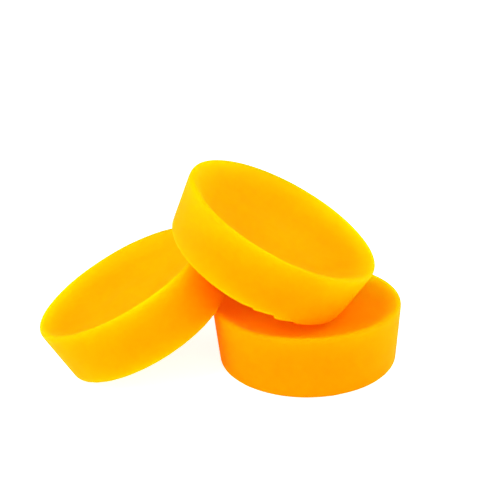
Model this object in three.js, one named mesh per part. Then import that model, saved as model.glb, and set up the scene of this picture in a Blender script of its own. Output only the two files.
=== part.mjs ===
// Three loose cakes of moulded beeswax in a small pile, +Z up, millimetres.
//
// Each cake is one solid casting: a flat foot with a small mould radius, a straight wall that
// draws outward, a soft rounded crest and a shallow dish where the wax sank as it set.
// The base cake stands flat, with the centre of its foot at the origin. The leaning cake stands
// on its own foot edge and rests its underside on the base cake's rim. The top cake lies across
// both: its underside on the leaning cake's raised rim, its lower edge in the base cake's dish.
import * as THREE from 'three';

// Details that every casting shares.
const FOOT_FILLET = 1;
const CREST_RADIUS = 0.8;

// How finely the round profile is faceted.
const SEGMENTS = 60;
const FILLET_STEPS = 3;
const CREST_STEPS = 6;
const DISH_STEPS = 9;

// Each cake's widest radius, at the crest, its overall height, its wall's draft in degrees, and
// its dish: the depth in the middle and the slope, in degrees, where it leaves the crest.
const BASE = { rimRadius: 25.4, height: 17.1, draft: 4.6, dishDepth: 3.3, dishSlope: 32 };
const LEANING = { rimRadius: 25.4, height: 16.4, draft: 4.6, dishDepth: 5.5, dishSlope: 42 };
const TOP = { rimRadius: 27.2, height: 15.9, draft: 6.15, dishDepth: 5.5, dishSlope: 42 };

// Where each tipped cake's foot centre is, and which way its axis tips from upright.
const LEANING_REST = { x: -43.3, y: 3.6, azimuth: 187.2, tilt: 24 };
const TOP_REST = { x: -12.3, y: 2.2, z: 26.73, azimuth: -14.8, tilt: 30.28 };

const BEESWAX = { color: 0xffb400, roughness: 0.42, metalness: 0 };

// The centre of the crest's rounding, as radius and height.
function crestCentre({ rimRadius, height }) {
  return new THREE.Vector2(rimRadius - CREST_RADIUS, height - CREST_RADIUS);
}

// The centre of the foot's fillet, which touches both the foot and the drafted wall.
function filletCentre(cake) {
  const draft = THREE.MathUtils.degToRad(cake.draft);
  const crest = crestCentre(cake);
  const wallOffset = crest.x * Math.cos(draft) - crest.y * Math.sin(draft) + CREST_RADIUS;
  const radius = (wallOffset - FOOT_FILLET * (1 - Math.sin(draft))) / Math.cos(draft);
  return new THREE.Vector2(radius, FOOT_FILLET);
}

// Points along a circular arc, both ends included.
function arcPoints(centre, radius, from, to, steps) {
  return Array.from({ length: steps + 1 }, (_, i) => {
    const angle = from + ((to - from) * i) / steps;
    return new THREE.Vector2(Math.cos(angle), Math.sin(angle)).multiplyScalar(radius).add(centre);
  });
}

// The dish, from the inner end of the crest to the axis. Its height follows a power of the
// radius, chosen so that it leaves the crest at the given slope and ends on the dish's floor.
function dishPoints(rimEnd, floor, slope) {
  const rise = rimEnd.y - floor;
  const power = (rimEnd.x * Math.tan(slope)) / rise;
  return Array.from({ length: DISH_STEPS }, (_, i) => {
    const share = 1 - (i + 1) / DISH_STEPS;
    return new THREE.Vector2(rimEnd.x * share, floor + rise * share ** power);
  });
}

// The closed half section of a cake, from the axis at the foot to the axis in the dish.
function cakeProfile(cake) {
  const draft = THREE.MathUtils.degToRad(cake.draft);
  const slope = THREE.MathUtils.degToRad(cake.dishSlope);
  const foot = arcPoints(filletCentre(cake), FOOT_FILLET, -Math.PI / 2, -draft, FILLET_STEPS);
  const crestEnd = Math.PI / 2 + slope;
  const crest = arcPoints(crestCentre(cake), CREST_RADIUS, -draft, crestEnd, CREST_STEPS);
  const dish = dishPoints(crest.at(-1), cake.height - cake.dishDepth, slope);
  return [new THREE.Vector2(0, 0), ...foot, ...crest, ...dish];
}

// One cake, standing on its foot on the origin.
function makeCake(name, cake) {
  const geometry = new THREE.LatheGeometry(cakeProfile(cake), SEGMENTS);
  geometry.rotateX(Math.PI / 2);
  const mesh = new THREE.Mesh(geometry, new THREE.MeshStandardMaterial(BEESWAX));
  mesh.name = name;
  return mesh;
}

// Tips a cake's axis from upright towards an azimuth, about the centre of its foot.
function tip(mesh, { azimuth, tilt }) {
  const heading = THREE.MathUtils.degToRad(azimuth);
  const hinge = new THREE.Vector3(-Math.sin(heading), Math.cos(heading), 0);
  mesh.quaternion.setFromAxisAngle(hinge, THREE.MathUtils.degToRad(tilt));
}

// The foot centre's height when a tipped cake's fillet just touches the surface it stands on.
function standingHeight(cake, { tilt }) {
  const angle = THREE.MathUtils.degToRad(tilt);
  return filletCentre(cake).x * Math.sin(angle) + FOOT_FILLET * (1 - Math.cos(angle));
}

function makeLeaningCake() {
  const mesh = makeCake('leaning_cake', LEANING);
  tip(mesh, LEANING_REST);
  mesh.position.set(LEANING_REST.x, LEANING_REST.y, standingHeight(LEANING, LEANING_REST));
  return mesh;
}

function makeTopCake() {
  const mesh = makeCake('top_cake', TOP);
  tip(mesh, TOP_REST);
  mesh.position.set(TOP_REST.x, TOP_REST.y, TOP_REST.z);
  return mesh;
}

const pile = new THREE.Group();
pile.add(makeCake('base_cake', BASE));
pile.add(makeLeaningCake());
pile.add(makeTopCake());

export default pile;
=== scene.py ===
"""Three moulded beeswax cakes in a small pile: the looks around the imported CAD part, in metres."""
import math

import bpy
import numpy as np
from mathutils import Matrix, Vector, noise


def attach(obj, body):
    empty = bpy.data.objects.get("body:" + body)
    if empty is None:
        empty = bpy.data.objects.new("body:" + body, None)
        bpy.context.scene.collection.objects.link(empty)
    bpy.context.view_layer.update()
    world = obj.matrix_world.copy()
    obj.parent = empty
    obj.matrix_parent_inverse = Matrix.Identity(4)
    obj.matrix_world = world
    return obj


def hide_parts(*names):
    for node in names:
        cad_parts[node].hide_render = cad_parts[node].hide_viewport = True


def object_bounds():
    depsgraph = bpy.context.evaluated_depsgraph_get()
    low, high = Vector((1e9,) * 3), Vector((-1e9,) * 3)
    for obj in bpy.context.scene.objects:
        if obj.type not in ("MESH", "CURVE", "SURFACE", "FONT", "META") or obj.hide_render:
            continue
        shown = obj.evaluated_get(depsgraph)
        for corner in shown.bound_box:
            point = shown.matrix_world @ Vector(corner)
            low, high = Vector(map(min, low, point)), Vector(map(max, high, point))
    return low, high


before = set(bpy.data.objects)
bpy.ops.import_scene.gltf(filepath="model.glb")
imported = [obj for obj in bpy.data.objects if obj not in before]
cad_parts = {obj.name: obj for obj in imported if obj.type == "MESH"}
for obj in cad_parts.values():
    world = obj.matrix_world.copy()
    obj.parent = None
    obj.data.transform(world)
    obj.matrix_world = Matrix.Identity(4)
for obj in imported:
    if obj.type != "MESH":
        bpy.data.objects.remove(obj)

CAD_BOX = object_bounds()
MM = 0.001

# The casting's details, as the CAD solids have them, and how far the visible crest is softened.
FOOT_FILLET = 1.0 * MM
CREST_RADIUS = 0.8 * MM
SOFTNESS = 0.75 * MM

# How finely the visible cakes are meshed: steps around, and along each stretch of the profile.
AROUND = 360
FOOT_STEPS = 24
FILLET_STEPS = 8
WALL_STEPS = 32
CREST_STEPS = 14
DISH_STEPS = 44

# Each CAD node: its body, the seed of its own irregularities, its wall's draft in degrees, its
# dish's depth and the slope, in degrees, where the dish leaves the crest, and the green of its wax
# on the wall and foot, at the crest, and in the dish, with painted light in it: the crest painted
# yellower as light glowing through its thin lip, the dish painted yellower to make up for its shade, and
# the cakes' greens differing as lit and shaded copies of one wax.
CAKES = {
    "base_cake": {
        "body": "base",
        "seed": 11,
        "draft": 4.6,
        "dish": (3.3 * MM, 32),
        "greens_with_painted_light": (0.305, 0.315, 0.41),
    },
    "leaning_cake": {
        "body": "leaning",
        "seed": 23,
        "draft": 4.6,
        "dish": (5.5 * MM, 42),
        "greens_with_painted_light": (0.36, 0.35, 0.38),
    },
    "top_cake": {
        "body": "top",
        "seed": 37,
        "draft": 6.15,
        "dish": (5.5 * MM, 42),
        "greens_with_painted_light": (0.33, 0.345, 0.36),
    },
}

# Small irregularities of a hand-poured casting, all of them cut into the wax and never added:
# how deep each is, how far the sunken crest reaches down, how far apart the dish's rings are, as
# the width of one radian of them, and how far the foot edge's wear reaches up and inwards.
OUT_OF_ROUND = 0.08 * MM
CREST_SINK = 0.12 * MM
SINK_REACH = 5 * MM
DISH_RIPPLE = 0.05 * MM
RIPPLE_SPREAD = 1.6 * MM
EDGE_WEAR = 0.07 * MM
WEAR_HEIGHT = 1.2 * MM
WEAR_WIDTH = 3 * MM

# Each irregularity's own offset from the cake's seed, and how quickly it changes round the cake.
WANDERS = {"round": (0, 1.3), "sink": (0.5, 2.2), "ripple": (0.7, 1.1), "wear": (0.9, 9)}

# Chips along the foot's edge: the azimuth, in degrees, where each ends abruptly, over how many
# degrees it deepens, and its full depth.
CHIPS = {"top_cake": ((265.5, 7, 0.3 * MM), (278, 12, 0.6 * MM), (291, 9, 0.35 * MM))}

# The wax: how red it is, how far from the crest its painted glow of light through the thin lip
# reaches, how strongly it clouds and grains, how deep the orange-peel and the grain are in its skin, and
# how rough the skin is.
WAX_RED = 0.98
PAINTED_CREST_GLOW = 9 * MM
CLOUDING = 0.03
GRAIN = 0.012
PEEL_DEPTH = 0.05 * MM
GRAIN_DEPTH = 0.01 * MM
ROUGHNESS = (0.42, 0.56)

# How far light of each colour soaks into the wax, and how little its skin reflects.
SOAK_SHARES = (0.5, 0.8, 0.2)
SOAK_REACH = 0.03
GLOSS = 0.01
WAX_IOR = 1.44

# The wax's patterns: how fine each is, in features to the metre, and its layers of detail.
CLOUD_PATTERN = (70, 3)
SHEEN_PATTERN = (160, 3)
PEEL_PATTERN = (420, 2)
COLOUR_GRAIN_PATTERN = (700, 2)
SKIN_GRAIN_PATTERN = (2600, 2)

# The span that holds most of a noise texture's values.
NOISE_SPAN = (0.3, 0.7)

# The mesh attribute that holds a vertex's place in its cake's own frame.
LOCAL_PLACE = "local_place"

# The camera.
CAMERA_ELEVATION = math.radians(19.4)
CAMERA_ROLL = math.radians(-3.25)
CAMERA_DISTANCE = 0.19
CAMERA_LENS = 54.3
AIM_OFFSET = Vector((0.0069, -0.001, 0.0074))

# The studio: how brightly its white surround lights the pile from the horizon and from overhead,
# what share of that comes from behind, how brightly the floor lights it, and how bright the floor
# is seen. The floor reaches the horizon.
HORIZON_LIGHT = 1.4
ZENITH_LIGHT = 0.5
BACK_SHARE = 0.25
FLOOR_GLOW = 0.15
FLOOR_WHITE = 0.8
FLOOR_SIZE = 120

# Each round area light: its place from the pile's centre, its diameter and its power.
LIGHTS = {
    "key": ((-0.25, -0.15, 0.35), 0.3, 1.1),
    "fill": ((0.35, -0.1, 0.2), 0.3, 0.2),
    "left_box": ((-0.4, 0.05, 0.03), 0.2, 0.2),
    "right_box": ((0.38, -0.02, 0.0), 0.2, 0.55),
}


# ---------------------------------------------------------------- where each cake is

def cake_frame(node):
    """A cake's own frame, from its CAD solid: +Z is its axis, and the origin its foot's centre."""
    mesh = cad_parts[node].data
    normals = np.array([face.normal for face in mesh.polygons])
    areas = np.array([face.area for face in mesh.polygons])
    # Faces that look the same way lie in one plane, and the largest such plane is the foot.
    alike = normals @ normals.T > 1 - 1e-6
    foot = alike[np.argmax(alike @ areas)]
    ring = {v for face, flat in zip(mesh.polygons, foot) if flat for v in face.vertices}
    points = np.array([mesh.vertices[v].co for v in ring])
    axis = Vector(-normals[foot].mean(axis=0)).normalized()
    centre = Vector((points.min(axis=0) + points.max(axis=0)) / 2)
    turn = Vector((0, 0, 1)).rotation_difference(axis)
    return Matrix.Translation(centre) @ turn.to_matrix().to_4x4()


def cake_size(node, place):
    """A cake's widest radius and its height, in its own frame."""
    inverse = place.inverted()
    points = [inverse @ v.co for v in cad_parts[node].data.vertices]
    return max(p.xy.length for p in points), max(p.z for p in points)


# ---------------------------------------------------------------- the shape of a cake

def arc(centre, radius, start, end, steps):
    """Points along an arc, as radius and height, both ends included."""
    angles = np.linspace(start, end, steps + 1)
    return np.column_stack((centre[0] + radius * np.cos(angles), centre[1] + radius * np.sin(angles)))


class Shape:
    """One cake's section, in its own frame, from its size, its draft and its dish."""

    def __init__(self, rim_radius, height, draft, dish_depth, dish_slope):
        self.rim_radius = rim_radius
        self.height = height
        self.draft = math.radians(draft)
        self.slope = math.radians(dish_slope)
        self.floor = height - dish_depth
        self.crest = (rim_radius - CREST_RADIUS, height - CREST_RADIUS)
        cos, sin = math.cos(self.draft), math.sin(self.draft)
        wall = self.crest[0] * cos - self.crest[1] * sin + CREST_RADIUS
        self.foot_radius = (wall - FOOT_FILLET * (1 - sin)) / cos

    def foot_points(self):
        """The flat foot, from its centre outwards, and the fillet that leads into the wall."""
        flat = np.linspace(0, self.foot_radius, FOOT_STEPS + 1)
        centre = (self.foot_radius, FOOT_FILLET)
        fillet = arc(centre, FOOT_FILLET, -math.pi / 2, -self.draft, FILLET_STEPS)
        return np.vstack((np.column_stack((flat, np.zeros(len(flat)))), fillet[1:]))

    def crest_points(self):
        """The round crest, from the wall over the top to where the dish starts down."""
        return arc(self.crest, CREST_RADIUS, -self.draft, math.pi / 2 + self.slope, CREST_STEPS)

    def dish_points(self, inner_radius, inner_height):
        """The dish, from the crest to the middle, closest together near the crest."""
        power = inner_radius * math.tan(self.slope) / (inner_height - self.floor)
        share = 1 - np.linspace(0, 1, DISH_STEPS + 1)[1:] ** 1.5
        rise = (inner_height - self.floor) * share ** power
        return np.column_stack((inner_radius * share, self.floor + rise))

    def profile(self):
        """The half section, from the foot's centre round the wall to the dish's centre."""
        foot, crest = self.foot_points(), self.crest_points()
        along = np.sin(np.linspace(0, math.pi / 2, WALL_STEPS + 1))[1:-1, None]
        wall = foot[-1] * (1 - along) + crest[0] * along
        return softened(np.vstack((foot, wall, crest, self.dish_points(*crest[-1]))), self.height)


def softened(profile, height):
    """Melts the crest into a soft lip: each point near it moves to the mean of its surroundings."""
    steps = np.hypot(*np.diff(profile, axis=0).T)
    along = np.concatenate(([0], np.cumsum(steps)))
    reach = np.gradient(along)
    weights = np.exp(-(((along[:, None] - along) / SOFTNESS) ** 2) / 2) * reach
    means = weights @ profile / weights.sum(axis=1)[:, None]
    radius, rise = profile.T
    share = smooth_step(rise, 0.4 * height, 0.7 * height) * smooth_step(radius, height / 2, height)
    return profile + (means - profile) * share[:, None]


def smooth_step(value, start, end):
    """0 up to the start, 1 from the end on, and a smooth course between them."""
    share = np.clip((value - start) / (end - start), 0, 1)
    return share * share * (3 - 2 * share)


def azimuths():
    """The angle of each step around a cake."""
    return np.linspace(0, 2 * math.pi, AROUND, endpoint=False)


def turned(profile):
    """Rings of points about +Z: one row for each point of the profile, one column per azimuth."""
    x = np.outer(profile[:, 0], np.cos(azimuths()))
    y = np.outer(profile[:, 0], np.sin(azimuths()))
    z = np.outer(profile[:, 1], np.ones(AROUND))
    return np.stack((x, y, z), axis=-1)


# ---------------------------------------------------------------- the irregularities of a casting

def wander(seed, kind):
    """A smooth random course round the cake, from 0 to 1, that closes on itself."""
    offset, turns = WANDERS[kind]
    course = [(turns * math.cos(a), turns * math.sin(a), seed + offset) for a in azimuths()]
    return np.clip(0.5 + 0.6 * np.array([noise.noise(Vector(place)) for place in course]), 0, 1)


def squeeze(radius, shape, seed):
    """How far the cake's outside is out of round."""
    outside = smooth_step(radius, 0.6 * shape.rim_radius, 0.9 * shape.rim_radius)
    return OUT_OF_ROUND * wander(seed, "round") * outside


def crest_sink(rise, shape, seed):
    """How unevenly the crest has sunk."""
    return CREST_SINK * wander(seed, "sink") * smooth_step(rise, shape.height - SINK_REACH, shape.height)


def dish_sag(radius, rise, shape, seed):
    """Faint sag rings in the dish, which fade out before the crest."""
    ripple = np.cos(radius / RIPPLE_SPREAD + 2 * wander(seed, "ripple"))
    inside = 1 - smooth_step(radius, 0.7 * shape.rim_radius, 0.85 * shape.rim_radius)
    in_dish = (rise > 0.5 * shape.height) * inside
    return DISH_RIPPLE * (0.5 + 0.5 * ripple) * in_dish


def chip_depths(chips):
    """How deep the foot's edge is chipped: each chip deepens along the edge and ends abruptly."""
    depths = np.zeros(AROUND)
    for end, width, depth in chips:
        share = (np.degrees(azimuths()) - (end - width)) / width
        depths = np.maximum(depths, np.where((share > 0) & (share <= 1), depth * share, 0))
    return depths


def edge_wear(radius, rise, shape, seed, chips):
    """How much of the foot's edge is worn and chipped away."""
    edge = shape.foot_radius
    near_edge = np.exp(-rise / WEAR_HEIGHT) * smooth_step(radius, edge - WEAR_WIDTH, edge)
    return (EDGE_WEAR * wander(seed, "wear") + chip_depths(chips)) * near_edge


def weathered(points, shape, seed, chips):
    """Cuts the irregularities of hand-poured wax into the rings of points, all of them inwards."""
    radius = np.hypot(points[..., 0], points[..., 1])
    rise = points[..., 2]
    wear = edge_wear(radius, rise, shape, seed, chips)
    inwards = squeeze(radius, shape, seed) + 0.5 * wear
    shrunk = 1 - inwards / np.maximum(radius, MM)
    worn = points.copy()
    worn[..., :2] *= shrunk[..., None]
    worn[..., 2] += wear - crest_sink(rise, shape, seed) - dish_sag(radius, rise, shape, seed)
    return worn


# ---------------------------------------------------------------- a cake's mesh

def cake_mesh(name, rings, bottom, top):
    """A closed surface through the rings, with one vertex in the foot and one in the dish."""
    vertices = np.vstack((rings.reshape(-1, 3), ((0, 0, bottom), (0, 0, top))))
    last_ring = (len(rings) - 1) * AROUND
    foot_end, dish_end = len(vertices) - 2, len(vertices) - 1
    faces = []
    for i in range(AROUND):
        j = (i + 1) % AROUND
        faces.append((foot_end, j, i))
        faces.append((dish_end, last_ring + i, last_ring + j))
        for ring in range(0, last_ring, AROUND):
            faces.append((ring + i, ring + j, ring + AROUND + j, ring + AROUND + i))
    mesh = bpy.data.meshes.new(name)
    mesh.from_pydata(vertices.tolist(), [], faces)
    mesh.shade_smooth()
    return mesh


def keep_local_places(mesh):
    """Stores each vertex's place in the cake's own frame, which the wax is coloured by."""
    places = np.empty(len(mesh.vertices) * 3, np.float32)
    mesh.vertices.foreach_get("co", places)
    mesh.attributes.new(LOCAL_PLACE, "FLOAT_VECTOR", "POINT").data.foreach_set("vector", places)


# ---------------------------------------------------------------- beeswax

class Wiring:
    """Adds nodes to a material or a world and wires them up as it goes."""

    def __init__(self, owner):
        self.tree = owner.node_tree

    def feed(self, socket, value):
        """Links a socket to another node's output, or sets its value."""
        if isinstance(value, bpy.types.NodeSocket):
            self.tree.links.new(value, socket)
        else:
            socket.default_value = value

    def product(self, first, second):
        node = self.tree.nodes.new("ShaderNodeMath")
        node.operation = "MULTIPLY"
        self.feed(node.inputs[0], first)
        self.feed(node.inputs[1], second)
        return node.outputs[0]

    def vector(self, x, y, z=0.0):
        node = self.tree.nodes.new("ShaderNodeCombineXYZ")
        for socket, value in zip(node.inputs, (x, y, z)):
            self.feed(socket, value)
        return node.outputs[0]

    def split(self, vector):
        node = self.tree.nodes.new("ShaderNodeSeparateXYZ")
        self.feed(node.inputs[0], vector)
        return node.outputs

    def distance(self, first, second):
        node = self.tree.nodes.new("ShaderNodeVectorMath")
        node.operation = "DISTANCE"
        self.feed(node.inputs[0], first)
        self.feed(node.inputs[1], second)
        return node.outputs["Value"]

    def remap(self, value, low, high, new_low, new_high, course="SMOOTHSTEP"):
        node = self.tree.nodes.new("ShaderNodeMapRange")
        node.interpolation_type = course
        for socket, number in zip(node.inputs, (value, low, high, new_low, new_high)):
            self.feed(socket, number)
        return node.outputs[0]

    def noise(self, place, pattern, seed):
        scale, detail = pattern
        node = self.tree.nodes.new("ShaderNodeTexNoise")
        node.noise_dimensions = "4D"
        self.feed(node.inputs["Vector"], place)
        node.inputs["W"].default_value = seed
        node.inputs["Scale"].default_value = scale
        node.inputs["Detail"].default_value = detail
        return node.outputs["Fac"]

    def varied(self, place, pattern, seed, low, high):
        """A number that changes from place to place, between two values."""
        return self.remap(self.noise(place, pattern, seed), *NOISE_SPAN, low, high)

    def bump(self, height, distance, below=None):
        node = self.tree.nodes.new("ShaderNodeBump")
        node.inputs["Distance"].default_value = distance
        self.feed(node.inputs["Height"], height)
        if below:
            self.feed(node.inputs["Normal"], below)
        return node.outputs["Normal"]

    def seen(self):
        """1 for what the camera sees directly, and 0 for the light that reaches other surfaces."""
        return self.tree.nodes.new("ShaderNodeLightPath").outputs["Is Camera Ray"]


def place_in_cake(wiring):
    """The point's place in its cake's own frame, and its radius from the axis and its height."""
    node = wiring.tree.nodes.new("ShaderNodeAttribute")
    node.attribute_name = LOCAL_PLACE
    x, y, z = wiring.split(node.outputs["Vector"])
    return node.outputs["Vector"], wiring.distance(wiring.vector(x, y), (0, 0, 0)), z


def wax_green_with_painted_light(wiring, radius, rise, shape, greens_with_painted_light):
    """The wax's green with painted light: the wall's, changing to the crest's painted glow and then to
    the dish's painted yellowing against its shade.
    """
    wall, crest, dish = greens_with_painted_light
    to_crest = wiring.distance(wiring.vector(radius, rise), (*shape.crest, 0))
    upper = wiring.remap(radius, shape.crest[0] - CREST_RADIUS, shape.crest[0], dish, wall)
    body = wiring.remap(rise, 0.5 * shape.height, 0.6 * shape.height, wall, upper)
    return wiring.remap(to_crest, CREST_RADIUS, PAINTED_CREST_GLOW, crest, body)


def wax_colour(wiring, place, green, seed):
    """The clear wax's colour, whose green carries the painted light, with faint cloudy patches and a
    finer grain.
    """
    clouds = wiring.varied(place, CLOUD_PATTERN, seed, 1 - CLOUDING, 1 + CLOUDING)
    grains = wiring.varied(place, COLOUR_GRAIN_PATTERN, seed, 1 - GRAIN, 1 + GRAIN)
    node = wiring.tree.nodes.new("ShaderNodeCombineColor")
    wiring.feed(node.inputs["Red"], WAX_RED)
    wiring.feed(node.inputs["Green"], wiring.product(wiring.product(green, clouds), grains))
    wiring.feed(node.inputs["Blue"], 0.0)
    return node.outputs["Color"]


def wax_relief(wiring, place, seed):
    """The skin of cast wax: a soft orange-peel and a finer grain over it."""
    peel = wiring.bump(wiring.noise(place, PEEL_PATTERN, seed), PEEL_DEPTH)
    return wiring.bump(wiring.noise(place, SKIN_GRAIN_PATTERN, seed), GRAIN_DEPTH, peel)


def beeswax(name, shape, greens_with_painted_light, seed):
    """Clean yellow beeswax, which light soaks a long way into."""
    material = bpy.data.materials.new(name)
    material.use_nodes = True
    wiring = Wiring(material)
    place, radius, rise = place_in_cake(wiring)
    # The green carries painted light: a painted glow at the crest, a dish painted yellower against its
    # shade, and each cake lighter or darker by how it is lit.
    green = wax_green_with_painted_light(wiring, radius, rise, shape, greens_with_painted_light)
    shader = material.node_tree.nodes["Principled BSDF"].inputs
    wiring.feed(shader["Base Color"], wax_colour(wiring, place, green, seed))
    wiring.feed(shader["Roughness"], wiring.varied(place, SHEEN_PATTERN, seed + 3, *ROUGHNESS))
    wiring.feed(shader["Normal"], wax_relief(wiring, place, seed))
    shader["Specular IOR Level"].default_value = GLOSS
    shader["IOR"].default_value = WAX_IOR
    shader["Subsurface Weight"].default_value = 1.0
    shader["Subsurface Radius"].default_value = SOAK_SHARES
    shader["Subsurface Scale"].default_value = SOAK_REACH
    return material


# ---------------------------------------------------------------- the pile

def make_cake(node, body, seed, draft, dish, greens_with_painted_light):
    """Replaces a cake's CAD solid with its finished wax casting."""
    place = cake_frame(node)
    shape = Shape(*cake_size(node, place), draft, *dish)
    profile = shape.profile()
    rings = weathered(turned(profile[1:-1]), shape, seed, CHIPS.get(node, ()))
    mesh = cake_mesh("wax_" + node, rings, profile[0, 1], profile[-1, 1] - DISH_RIPPLE / 2)
    keep_local_places(mesh)
    mesh.transform(place)
    cake = bpy.data.objects.new("wax_" + node, mesh)
    bpy.context.scene.collection.objects.link(cake)
    mesh.materials.append(beeswax("beeswax_" + node, shape, greens_with_painted_light, seed))
    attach(cake, body)
    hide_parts(node)


# ---------------------------------------------------------------- stage, light and camera

def make_floor():
    """A plain matt floor that is seen as white, and lights the pile only faintly."""
    bpy.ops.mesh.primitive_plane_add(size=FLOOR_SIZE)
    floor = bpy.context.object
    floor.name = "floor"
    paint = bpy.data.materials.new("floor_paint")
    paint.use_nodes = True
    wiring = Wiring(paint)
    shader = paint.node_tree.nodes["Principled BSDF"].inputs
    shader["Base Color"].default_value = (0.9, 0.9, 0.9, 1)
    shader["Roughness"].default_value = 0.9
    shader["Emission Color"].default_value = (1, 1, 1, 1)
    wiring.feed(shader["Emission Strength"], wiring.remap(wiring.seen(), 0, 1, FLOOR_GLOW, FLOOR_WHITE))
    floor.data.materials.append(paint)


def make_world():
    """A studio that is seen as plain white, and lights the pile less from overhead and behind."""
    world = bpy.data.worlds.new("studio")
    bpy.context.scene.world = world
    world.use_nodes = True
    wiring = Wiring(world)
    direction = world.node_tree.nodes.new("ShaderNodeTexCoord").outputs["Generated"]
    _, back, up = wiring.split(direction)
    sky = wiring.remap(up, 0, 1, HORIZON_LIGHT, ZENITH_LIGHT, "LINEAR")
    behind = wiring.remap(back, 0, 0.8, 1, BACK_SHARE, "LINEAR")
    background = world.node_tree.nodes["Background"].inputs
    background["Color"].default_value = (1, 1, 1, 1)
    light = wiring.product(sky, behind)
    wiring.feed(background["Strength"], wiring.remap(wiring.seen(), 0, 1, light, 1))


def make_light(name, place, centre, size, power):
    """A round area light that faces the pile's centre."""
    data = bpy.data.lights.new(name, "AREA")
    data.shape = "DISK"
    data.size = size
    data.energy = power
    light = bpy.data.objects.new(name, data)
    bpy.context.scene.collection.objects.link(light)
    light.location = centre + Vector(place)
    light.rotation_euler = (-Vector(place)).to_track_quat("-Z", "Y").to_euler()


def make_camera(centre):
    """A camera in front of the pile, looking down at it and slightly rolled."""
    forward = Vector((0, math.cos(CAMERA_ELEVATION), -math.sin(CAMERA_ELEVATION)))
    right = Vector((1, 0, 0))
    up = right.cross(forward)
    turn = Matrix.Rotation(-CAMERA_ROLL, 3, forward)
    right, up = turn @ right, turn @ up
    data = bpy.data.cameras.new("camera")
    data.lens = CAMERA_LENS
    data.clip_start = 0.01
    camera = bpy.data.objects.new("camera", data)
    bpy.context.scene.collection.objects.link(camera)
    axes = Matrix((right, up, -forward)).transposed().to_4x4()
    position = centre + AIM_OFFSET - CAMERA_DISTANCE * forward
    camera.matrix_world = Matrix.Translation(position) @ axes
    bpy.context.scene.camera = camera


pile_centre = (CAD_BOX[0] + CAD_BOX[1]) / 2
make_camera(pile_centre)
make_world()
for light_name, (light_place, light_size, light_power) in LIGHTS.items():
    make_light(light_name, light_place, pile_centre, light_size, light_power)
make_floor()
for cake_node, details in CAKES.items():
    make_cake(cake_node, **details)
bpy.context.scene.view_settings.view_transform = "Standard"

# Light bounces many times between the cakes before it is spent.
bpy.context.scene.cycles.max_bounces = 24
bpy.context.scene.cycles.diffuse_bounces = 16
